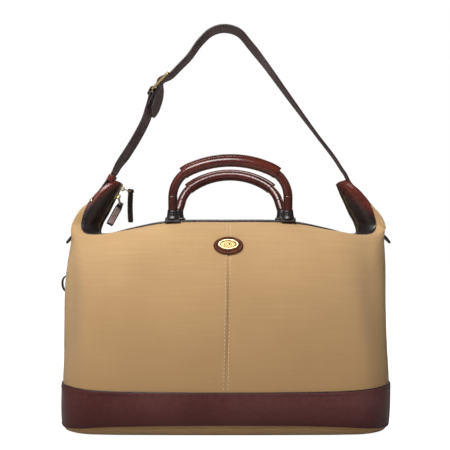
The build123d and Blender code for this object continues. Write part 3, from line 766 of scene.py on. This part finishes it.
def badge():
    """Leather oval with a brass plate on it, and a plain pattern of petals."""
    seat, out = wall_grid(np.array([-0.02, 0.0, 0.02]), np.array([5.98, 6.0, 6.02]), 0.0, soft=False)
    seat, out = seat[1, 1], out[1, 1]
    up = unit(np.array((0, 0, 1.0)) - out * out[2])
    side = np.array((1, 0, 0))
    leather_at = seat + out * 0.6 + up * 1.0
    leaf = [(0.0, 0.0), (21.8, 0.0), (22.8, 0.4), (23.0, 1.0), (22.6, 1.7), (21.6, 2.0), (20.6, 1.75),
            (19.6, 1.65), (17.5, 1.9), (0.0, 1.9)]
    oval = (1, 15 / 23)
    piece = lathe("badge_leather_oval", leaf, leather_at, out, badge_leather, "bag", 64, oval)
    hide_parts("badge_leather")
    ring = ellipse(leather_at + out * 1.7, side, up, 20.1, 12.6, np.linspace(0, 2 * math.pi, 97))
    stitches("badge_stitches", ring, out, *BADGE_THREAD, badge_thread, "bag", "trim_leather")
    metal_at = seat + out * 2.3 + up * 2.3
    floor = [(0.0, 0.0), (14.0, 0.0), (14.0, 0.5), (9.0, 0.75), (0.0, 0.95)]
    plate = lathe("badge_plate", floor, metal_at, out, gold_floor, "bag", 64, (1, 7.2 / 14.0))
    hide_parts("badge_medallion")
    rim = ellipse(metal_at + out * 0.6, side, up, 14.4, 7.5, around(72))
    rim = sweep("badge_rim", rim, [(p, q * 1.35) for p, q in circle(1.15, 12)], gold, "bag",
                side=out, closed=True)
    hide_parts("badge_medallion")
    dot = [(0.0, 0.0), (1.6, 0.0), (1.4, 0.5), (0.8, 0.85), (0.0, 0.95)]
    places = [a + math.pi / 8 for a in around(8)]
    for k, petal in enumerate(ellipse(metal_at + out * 0.6, side, up, 6.6, 3.1, places)):
        lathe(f"badge_petal_{k}", dot, petal, out, gold, "bag", 12, (1.25, 0.75))
    lathe("badge_boss", [(0.0, 0.0), (2.4, 0.0), (2.1, 0.6), (1.1, 1.0), (0.0, 1.1)],
          metal_at + out * 0.8, out, gold, "bag", 20, (1.3, 0.8))


def feet():
    shape = [(0.0, 3.8), (8.4, 3.8), (8.6, 3.2), (8.0, 2.2), (6.4, 0.9), (4.4, 0.15), (3.6, 0.0), (0.0, 0.0)]
    low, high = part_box("feet")
    inset = FOOT_R * MM
    for number, (x, y) in enumerate((a, b) for a in (low[0] + inset, high[0] - inset)
                                    for b in (low[1] + inset, high[1] - inset)):
        foot = lathe(f"foot_{number}", shape[::-1], (x / MM, y / MM, 0), (0, 0, 1), brass, "bag")
        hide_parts("feet")


# ---- handles ----
def handle_line(name, turned=None, count=90):
    """A handle in its own plane, from foot to foot or between the places it has turned so far."""
    half, inward, bend_r, turn, _, _ = HANDLES[name]
    inward, turn = math.radians(inward), math.radians(turn)
    leg_end = np.array((half - HANDLE_LEG * math.sin(inward), HANDLE_LEG * math.cos(inward)))
    bend_at = leg_end - bend_r * np.array((math.cos(inward), math.sin(inward)))
    end = bend_at + bend_r * np.array((math.cos(turn), math.sin(turn)))
    radius = end[0] / math.cos(turn)
    height = end[1] - radius * math.sin(turn)
    lengths = (HANDLE_LEG, bend_r * (turn - inward), radius * (math.pi / 2 - turn))
    start = 0.0 if turned is None else HANDLE_LEG + bend_r * (math.radians(turned) - inward)
    line = []
    for s in np.linspace(start, sum(lengths), count // 2):
        if s < lengths[0]:
            point = np.array((half, 0)) + (leg_end - (half, 0)) * s / HANDLE_LEG
        elif s < lengths[0] + lengths[1]:
            a = inward + (s - lengths[0]) / bend_r
            point = bend_at + bend_r * np.array((math.cos(a), math.sin(a)))
        else:
            a = turn + (s - lengths[0] - lengths[1]) / radius
            point = np.array((radius * math.cos(a), height + radius * math.sin(a)))
        line.append(point)
    right = np.array(line)
    return np.concatenate([right * (-1, 1), right[-2::-1]])


def placed(name, line):
    """A handle's line in the bag's frame, and the direction across the handle's plane."""
    tilt = math.radians(HANDLES[name][5])
    y0 = -HANDLE_Y if name == "front_handle" else HANDLE_Y
    x, h = line[:, 0], line[:, 1]
    points = np.stack([HANDLE_X + x, y0 - h * math.sin(tilt), HANDLE_Z + h * math.cos(tilt)], -1)
    return points, np.array((0, math.cos(tilt), math.sin(tilt)))


def handle(name):
    """Rolled leather, stitched sleeve, rope core, and wrapped ends that bend above the feet."""
    line, across = placed(name, handle_line(name, None, 140))
    size = 1 + 0.015 * np.sin(np.linspace(-17, 17, len(line)))
    roll = sweep(f"{name}_rolled", line[7:-7], circle(ROLL_R, 24), handle_leather, name,
                 side=across, scale=size[7:-7])
    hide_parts(f"{name}_roll")
    grip_line, _ = placed(name, handle_line(name, HANDLES[name][4], 120))
    out = unit(np.cross(across, np.gradient(grip_line, axis=0)))
    top = 1 if out[len(out) // 2][2] > 0 else -1
    section = [(GRIP_R * math.cos(a), top * GRIP_R * math.sin(a))
               for a in np.linspace(math.radians(100), math.radians(440), 30)]
    section += [(1.45, top * 11.0), (0.9, top * 11.7), (-0.9, top * 11.7), (-1.45, top * 11.0)]
    grip = sweep(f"{name}_sleeve", grip_line, section, handle_leather, name, side=across)
    soften(grip, 0.5, 2)
    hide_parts(f"{name}_grip")
    out = out * top
    for row, face in enumerate((-1, 1)):
        stitches(f"{name}_fin_stitches_{row}", grip_line + out * 9.9 + across * face * 1.5,
                 across * face, *FIN_THREAD, dark_thread, name, "handle_leather")
    for side in (-1, 1):
        leg = line[:14] if side < 0 else line[::-1][:14]
        foot, far_end = leg[0], leg[-1]
        rise = np.array([(foot[0], foot[1], z) for z in np.linspace(PATCH_Z, HANDLE_Z - 1.6, 7)])
        wrap_line = np.concatenate([rise, leg])
        size = np.interp(distances(wrap_line), [0, 1.6, 5, 11, 17], [1.55, 1.5, 1.26, 1.15, 1.08])
        for part, first, last, radius, leather, slot in (
                ("foot", 0, 10, FOOT_WRAP_R, dark_leather, "trim_leather"),
                ("leg", 9, len(wrap_line), LEG_WRAP_R, handle_leather, "handle_leather")):
            piece = sweep(f"{name}_{part}_{side + 1}", wrap_line[first:last], circle(radius, 28), leather,
                          None, side=across, scale=size[first:last] if part == "foot" else None)
            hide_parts(f"{name}_wraps")
            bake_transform(piece)
    core = sweep(f"{name}_rope", line[8:-8], circle(CORE_R, 14), rope, name, side=across)
    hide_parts(f"{name}_core")


def handle_tabs():
    """Dark leather tabs that hold the handle feet and are riveted to the facing."""
    for name, y_side in (("front_handle", -1), ("back_handle", 1)):
        for number, x_side in enumerate((-1, 1)):
            x = HANDLE_X + x_side * HANDLES[name][0]
            path = [(x, y_side * 11, 329.4), (x, y_side * 18, 330.0), (x, y_side * 24, 330.6),
                    (x, y_side * 36, 330.0), (x, y_side * 41, 325.0)]
            path = smooth(path, np.linspace(0, 4, 30))
            tab = sweep(f"{name}_tab_{number}", path, strip_profile(12.0, 2.0), dark_leather, "bag",
                        side=(1, 0, 0))
            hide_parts("handle_patches")
            for k, dx in enumerate((-6, 6)):
                dome = [(0, 0), (2.5, 0), (2.4, 0.5), (1.6, 1.0), (0, 1.2)]
                rivet = lathe(f"{name}_rivet_{number}_{k}", dome, (x + dx, y_side * 14, 330.6), (0, 0, 1),
                              brass, "bag", 18)
                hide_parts("handle_rivets")


# ---- shoulder strap ----
def flat_path(points, per=10):
    p = np.array([(x, 0, z) for x, z in points], float)
    return smooth(p, np.linspace(0, len(p) - 1, per * (len(p) - 1) + 1))


def strap_piece(name, path, twist, nodes, round_end=False):
    """Strap with a rounded first end, and a rounded last end if asked."""
    size = np.ones(len(path))
    for k in range(TAPER):
        size[k] = 0.12 + 0.88 * math.sqrt((k + 0.5) / TAPER)
        if round_end:
            size[-1 - k] = size[k]
    piece = sweep(name, path, strip_profile(STRAP_HALF, STRAP, 0.8), strap_leather, None,
                  twist=twist, inner_mat=strap_inner, widths=size)
    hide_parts(*nodes)
    return piece


def strap_edges(name, path, twist):
    """Stitch rows near both edges of both faces."""
    across = np.broadcast_to((0.0, 1.0, 0.0), path.shape)
    out = np.cross(across, unit(np.gradient(path, axis=0)))
    across, out = turned(across, out, twist)
    rows = []
    for row, face in enumerate((-1, 1)):
        for layer, sign in enumerate((-1, 1)):
            rows.append(stitches(f"{name}_stitches_{row}{layer}",
                                 (path + across * face * (STRAP_HALF - 2.2) + out * sign * 1.42)[8:-8],
                                 (out * sign)[8:-8], *STRAP_THREAD, strap_thread, None,
                                 "strap_leather"))
    return rows


def shoulder_strap():
    """Both straps, turned so that the inner face shows a little from the front."""
    left_anchor = lean(np.array([(x, 0, z) for x, z in ANCHOR], float))
    left_anchor += np.outer(ANCHOR_OUT, (-0.75, 0, 0.65))
    right_anchor = lean(np.array([(-x, 0, z) for x, z in ANCHOR], float))
    path = flat_path(list(LONG_STRAP) + [(p[0], p[2]) for p in right_anchor[::-1]])
    x, z = path[:, 0], path[:, 2]
    lift = np.clip((z - 395) / 50, 0, 1)
    twist = np.radians(11 + 6 * bulge(x, 0, 55) + 7 * (x > 60)) * lift
    twist = np.where(z < 548, np.radians(22) * np.clip(-x / 60, 0, 1), twist) * np.where(x < 60, 1, lift)
    twist = np.where((x < -60) & (z > 548), np.radians(11), twist)
    twist = np.convolve(np.pad(twist, 12, mode="edge"), np.ones(25) / 25, mode="valid")
    long = strap_piece("strap_long_leather", path, twist, ("strap_long", "strap_anchor_right"), True)
    pieces = [long] + strap_edges("strap_long", path, twist)

    path = flat_path([(p[0], p[2]) for p in left_anchor] + SHORT_STRAP)
    z = path[:, 2]
    twist = np.radians(22) * np.clip((z - 380) / 50, 0, 1) * (1 - 0.5 * np.clip((z - 505) / 30, 0, 1))
    short = strap_piece("strap_short_leather", path, twist, ("strap_short", "strap_anchor_left"))
    pieces += [short] + strap_edges("strap_short", path, twist)
    for piece in pieces:
        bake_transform(piece)


def buckle_fold():
    """The short strap folded round the buckle's heel, and the inner layer sewn back on it."""
    heel = np.array((-115.9, 0, 537.7))
    along = np.array((6.2, 0, 12.4)) / math.hypot(6.2, 12.4)
    out = np.array((-along[2], 0, along[0]))
    points = ellipse(heel, along, out, 4.1, 4.1, np.radians(np.linspace(-90, 90, 13)))
    inner = [heel - along * d - out * 4.1 for d in (26, 18, 10, 4)]
    outer = [heel - along * d + out * 4.1 for d in (4, 10)]
    path = smooth(np.array(inner + points + outer), np.linspace(0, 18, 120))
    for number, (y, half) in enumerate(((-8.3, 5.0), (8.3, 5.0))):
        fold = sweep(f"buckle_fold_{number}", path + (0, y, 0), strip_profile(half, 2.2, 0.6),
                     strap_leather, "shoulder_strap")
        soften(fold, 0.3, 1)


def keeper():
    """Leather loop round the strap at the left ear."""
    low = lean(np.array((ANCHOR[-2][0], 0, ANCHOR[-2][1]), float))
    high = lean(np.array((ANCHOR[-1][0], 0, ANCHOR[-1][1]), float))
    along = unit(high - low)
    out = np.cross((0, 1, 0), along)
    centre = (low + high) / 2
    loop = []
    half_w, half_t = STRAP_HALF + 2.0, 4.2
    for sx, sy, start in ((1, 1, 0), (-1, 1, 90), (-1, -1, 180), (1, -1, 270)):
        for k in range(6):
            a = math.radians(start + 18 * k)
            loop.append(centre + np.array((0, 1, 0)) * (sx * (half_w - 2.5) + 2.5 * math.cos(a))
                        + out * (sy * (half_t - 2.5) + 2.5 * math.sin(a)))
    piece = sweep("keeper_loop", loop, strip_profile(5.5, 2.0, 0.6, 0.3), keeper_leather, "bag",
                  side=along, closed=True)
    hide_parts("strap_keeper")


def side_details():
    """The small loop on the left gusset and the rivets at the ears."""
    path = flat_path([(-250, 239), (-258, 237), (-262, 231), (-262, 221), (-258, 214), (-251, 212)], 6)
    loop = sweep("side_loop_leather", path, strip_profile(6, 1.8, 0.5), dark_leather, "bag")
    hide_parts("side_loop")
    for side in (-1, 1):
        for face in (-1, 1):
            at, out = facing_grid(np.array([6.85, 6.9, 6.95]) * side, np.array([0.18, 0.22, 0.26]), face)
            dome = [(0, 0), (2.6, 0), (2.5, 0.6), (1.6, 1.1), (0, 1.3)]
            rivet = lathe(f"ear_rivet_{side + 1}_{face + 1}", dome,
                          at[1, 1] + out[1, 1] * 1.4, out[1, 1], brass, "bag", 20)
            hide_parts("ear_rivets")


# ---- zip pulls ----
def pull_tab(name, body, start, down, across, length, half, face_mat):
    """Folded leather pull: a rounded strip with a raised edge, on its ring."""
    down, across = unit(down), unit(across)
    start = np.asarray(start, float)
    out = np.cross(across, down)
    s = np.linspace(0, 1, 26)
    path = start + down * (s[:, None] * length) + out * (1.2 * np.sin(s * math.pi)[:, None])
    size = np.where(s < 0.12, 0.8 + s * 1.6, 1.0) * np.where(s > 0.95, 0.9, 1.0)
    strip = sweep(name, path, strip_profile(half, 3.0, 1.1, 0.2), dark_leather, body,
                  side=across, scale=size)
    soften(strip)
    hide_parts(body)
    eye = ellipse(start - down * 0.6, down, out, 3.0, 3.0, around(20))
    sweep(f"{name}_eye", eye, strip_profile(half * 0.72, 1.8, 0.5), dark_leather, body,
          side=across, closed=True)
    if face_mat:
        for side in (-1, 1):
            inner = path[4:24] + out * side * 1.35
            sweep(f"{name}_face_{side + 1}", inner, strip_profile(half - 1.7, 0.7, 0.3), face_mat, body,
                  side=across)
            for edge in (-1, 1):
                stitches(f"{name}_stitches_{side + 1}{edge + 1}", inner + across * edge * (half - 2.6)
                         + out * side * 0.4, out * side, *PULL_THREAD, light_thread, body, "trim_leather")


def zip_pulls():
    """A leather tab on each pull ring, hung from the tab's joint."""
    low, high = lean(ZIP_LINE[5]), lean(ZIP_LINE[9])
    up = unit(high - low)
    out = np.array((up[2], 0, -up[0]))
    joints = {j["name"]: j for j in frame["joints"]}
    upper = np.array(joints["upper_tab_swing"]["pos_m"]) / MM
    lower = np.array(joints["lower_tab_swing"]["pos_m"]) / MM
    turn = math.radians(35)
    pull_tab("pull_upper", "pull_tab_upper", upper, (0, 0, -1),
             (math.sin(turn), math.cos(turn), 0), 50, 5.6, None)
    turn = math.radians(80)
    across = np.array((0, 1, 0)) * math.cos(turn) + out * math.sin(turn)
    pull_tab("pull_lower", "pull_tab_lower", lower, -up, across, 37, 5.6, pull_face)


# ---- CAD nodes that stay ----
def dress_frame():
    """Materials for the CAD parts that stay in view."""
    finishes = {"buckle_frame": brass, "buckle_tongue": brass, "pull_ring_upper": brass,
                "pull_ring_lower": brass, "zip_slider_upper": zip_brass, "zip_slider_lower": zip_brass,
                "bottom_panel": canvas, "base_board": board_material}
    for node, mat in finishes.items():
        piece = frame["nodes"][node]
        piece.data.materials.clear()
        piece.data.materials.append(mat)


# ---- stage ----
def area_light(name, place, target, size, power):
    data = bpy.data.lights.new(name, "AREA")
    data.shape = "RECTANGLE"
    data.size, data.size_y = size
    data.energy = power
    lamp = bpy.data.objects.new(name, data)
    lamp.location = place
    lamp.rotation_euler = (Vector(target) - Vector(place)).to_track_quat("-Z", "Y").to_euler()
    bpy.context.scene.collection.objects.link(lamp)


def stage_material(name, roughness, base):
    """A material that shines white, with its tree and its surface node."""
    mat, tree, bsdf = shader(name, roughness)
    bsdf.inputs["Base Color"].default_value = (base, base, base, 1)
    bsdf.inputs["Emission Color"].default_value = (1, 1, 1, 1)
    return mat, tree, bsdf


def backdrop():
    """White to the camera, dim to the object."""
    world = bpy.data.worlds.new("studio")
    bpy.context.scene.world = world
    world.use_nodes = True
    world.node_tree.nodes["Background"].inputs["Color"].default_value = (1, 1, 1, 1)
    world.node_tree.nodes["Background"].inputs["Strength"].default_value = 0.16

    bpy.ops.mesh.primitive_plane_add(size=14, location=(0, 0, 0))
    ground = bpy.context.object
    ground.name = "floor"
    mat, tree, bsdf = stage_material("floor", 0.9, 0.45)
    seen = tree.nodes.new("ShaderNodeLightPath")
    tree.links.new(seen.outputs["Is Camera Ray"], bsdf.inputs["Emission Strength"])
    ground.data.materials.append(mat)
    bpy.ops.mesh.primitive_uv_sphere_add(radius=6.5, location=(0, 0, 0), segments=48, ring_count=24)
    dome = bpy.context.object
    dome.name = "backdrop"
    mat, _, bsdf = stage_material("backdrop", 1.0, 0.0)
    bsdf.inputs["Emission Strength"].default_value = 1.0
    dome.data.materials.append(mat)
    dome.visible_diffuse = False
    dome.visible_glossy = False
    dome.visible_transmission = False
    dome.visible_shadow = False


def lights_and_camera():
    area_light("top", (-0.32, -0.8, 1.35), (-0.05, 0, 0.25), (0.9, 0.6), 20)
    area_light("front_left", (-1.7, -1.3, 1.0), (0, 0, 0.2), (0.7, 1.3), 3)
    area_light("front_right", (1.7, -1.2, 1.1), (0, 0, 0.2), (0.5, 1.3), 1.0)
    area_light("back", (0.3, 1.6, 1.6), (0, 0, 0.3), (1.6, 0.8), 12)

    scene = bpy.context.scene
    scene.view_settings.view_transform = "Standard"
    data = bpy.data.cameras.new("camera")
    data.sensor_width = 36
    data.lens = 74.26
    camera = bpy.data.objects.new("camera", data)
    camera.location = (0, -1.5, 0.32)
    camera.rotation_euler = (math.radians(90), 0, 0)
    scene.collection.objects.link(camera)
    scene.camera = camera


canvas_body()
leather_band()
facings()
zip_fastener()
badge()
feet()
for handle_name in HANDLES:
    handle(handle_name)
handle_tabs()
shoulder_strap()
buckle_fold()
keeper()
side_details()
zip_pulls()
dress_frame()
backdrop()
lights_and_camera()
